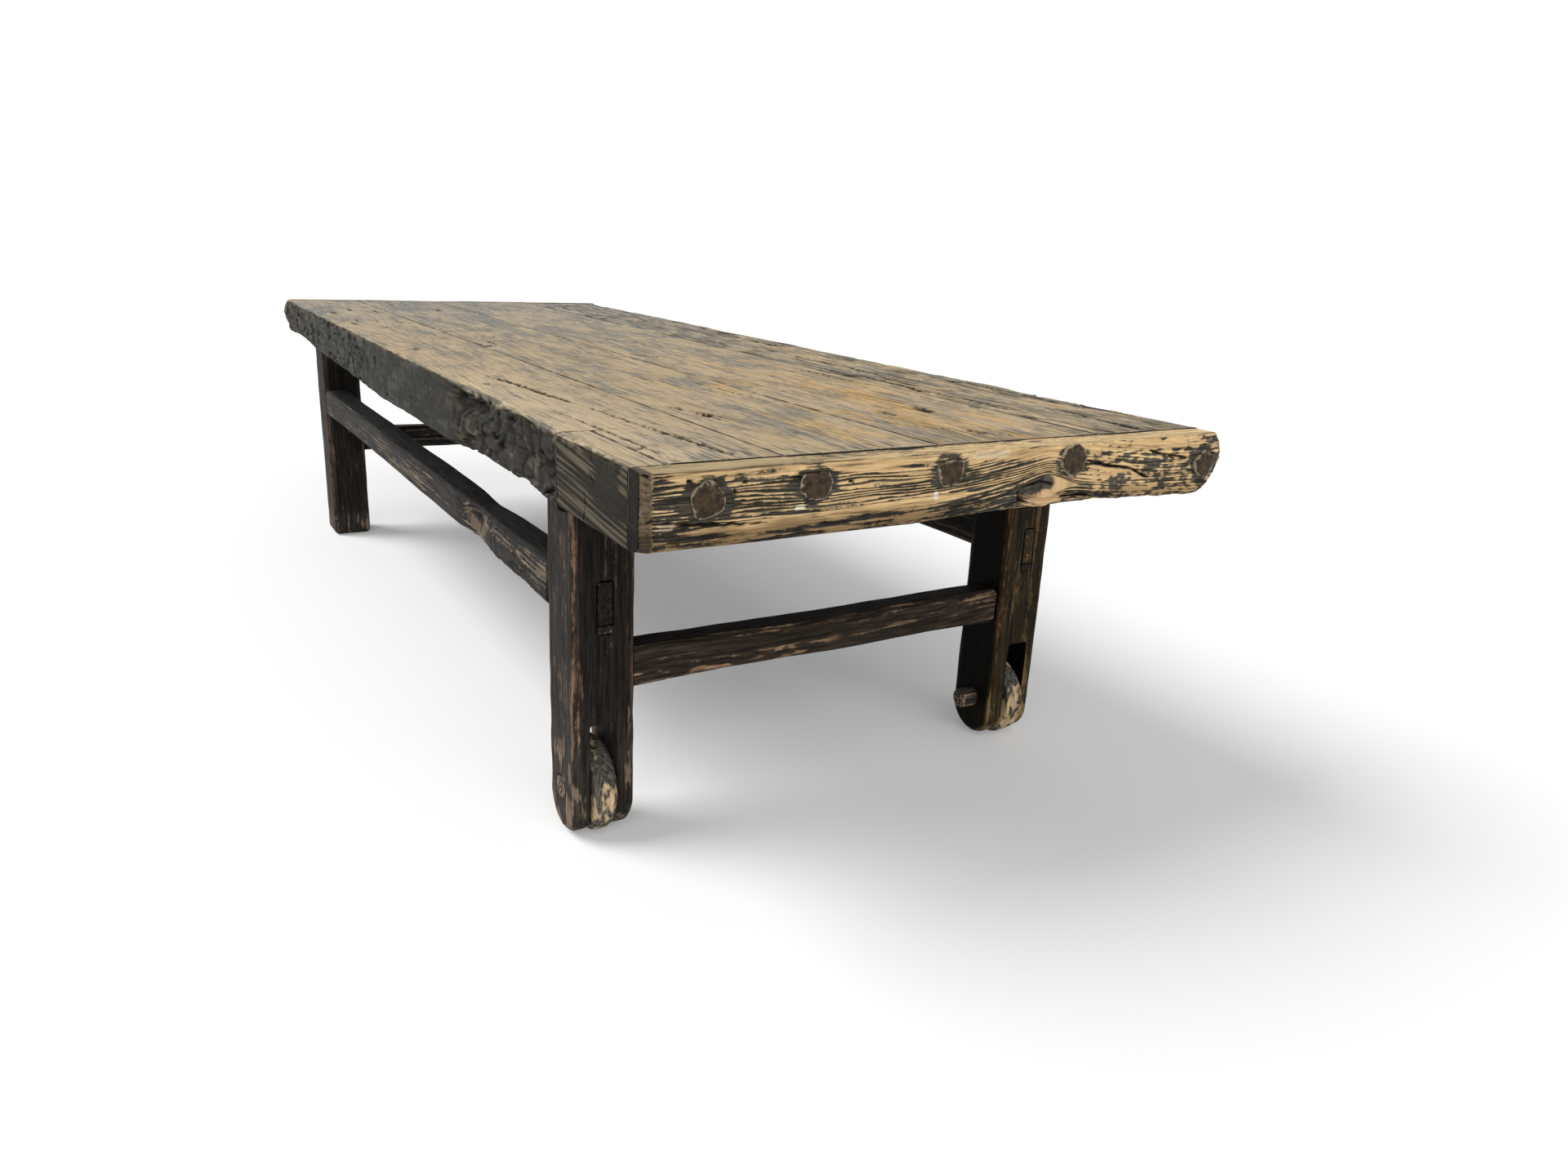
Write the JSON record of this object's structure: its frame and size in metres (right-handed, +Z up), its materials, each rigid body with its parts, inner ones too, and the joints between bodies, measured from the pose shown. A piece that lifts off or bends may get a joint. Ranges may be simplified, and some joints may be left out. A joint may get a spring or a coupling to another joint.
{
  "type": "kang table",
  "caption": "Low rustic plank table with nailed end boards, stretcher frame, and wooden wheels let into the legs of one end.",
  "frame": {"origin": "on the floor, under the middle of the top", "axes": "+X along the table towards the wheeled end, -Y towards the front long side, +Z up"},
  "size_m": [1.804, 0.675, 0.44],
  "materials": {
    "top_elm": "bare weathered elm, golden ridges over grey-green grain, worn smooth and dull",
    "end_board_elm": "deeply ridged golden elm with black in the grain",
    "dark_frame_elm": "nearly black old finish, worn to brown and tan at the edges, low sheen",
    "wheel_wood": "blackened hardwood with tan patches where it has worn",
    "hidden_tongue_wood": "plain dry wood, out of sight",
    "forged_iron": "dark brown forged iron with a lighter worn rim"
  },
  "bodies": {
    "table": {"front_edge_plank": "top_elm", "front_middle_plank": "top_elm", "back_middle_plank": "top_elm", "back_edge_plank": "top_elm", "corner_patch": "top_elm", "wheel_end_board": "end_board_elm", "plain_end_board": "end_board_elm", "wheel_end_nails": "forged_iron", "plain_end_nails": "forged_iron", "front_seam_tongues": "hidden_tongue_wood", "middle_seam_tongues": "hidden_tongue_wood", "back_seam_tongues": "hidden_tongue_wood", "front_wheel_leg": "dark_frame_elm", "back_wheel_leg": "dark_frame_elm", "front_plain_leg": "dark_frame_elm", "back_plain_leg": "dark_frame_elm", "front_long_stretcher": "dark_frame_elm", "back_long_stretcher": "dark_frame_elm", "wheel_end_stretcher": "dark_frame_elm", "plain_end_stretcher": "dark_frame_elm", "tenon_wedges": "dark_frame_elm", "front_axle_peg": "wheel_wood", "back_axle_peg": "wheel_wood"},
    "front_wheel": {"front_wheel": "wheel_wood"},
    "back_wheel": {"back_wheel": "wheel_wood"}
  },
  "joints": [
    {"name": "front_wheel_turn", "type": "hinge", "parent": "table", "child": "front_wheel", "pos_m": [0.6505, -0.2825, 0.052], "axis": [0, 1, 0], "continuous": true},
    {"name": "back_wheel_turn", "type": "hinge", "parent": "table", "child": "back_wheel", "pos_m": [0.6505, 0.2825, 0.052], "axis": [0, 1, 0], "continuous": true}
  ]
}
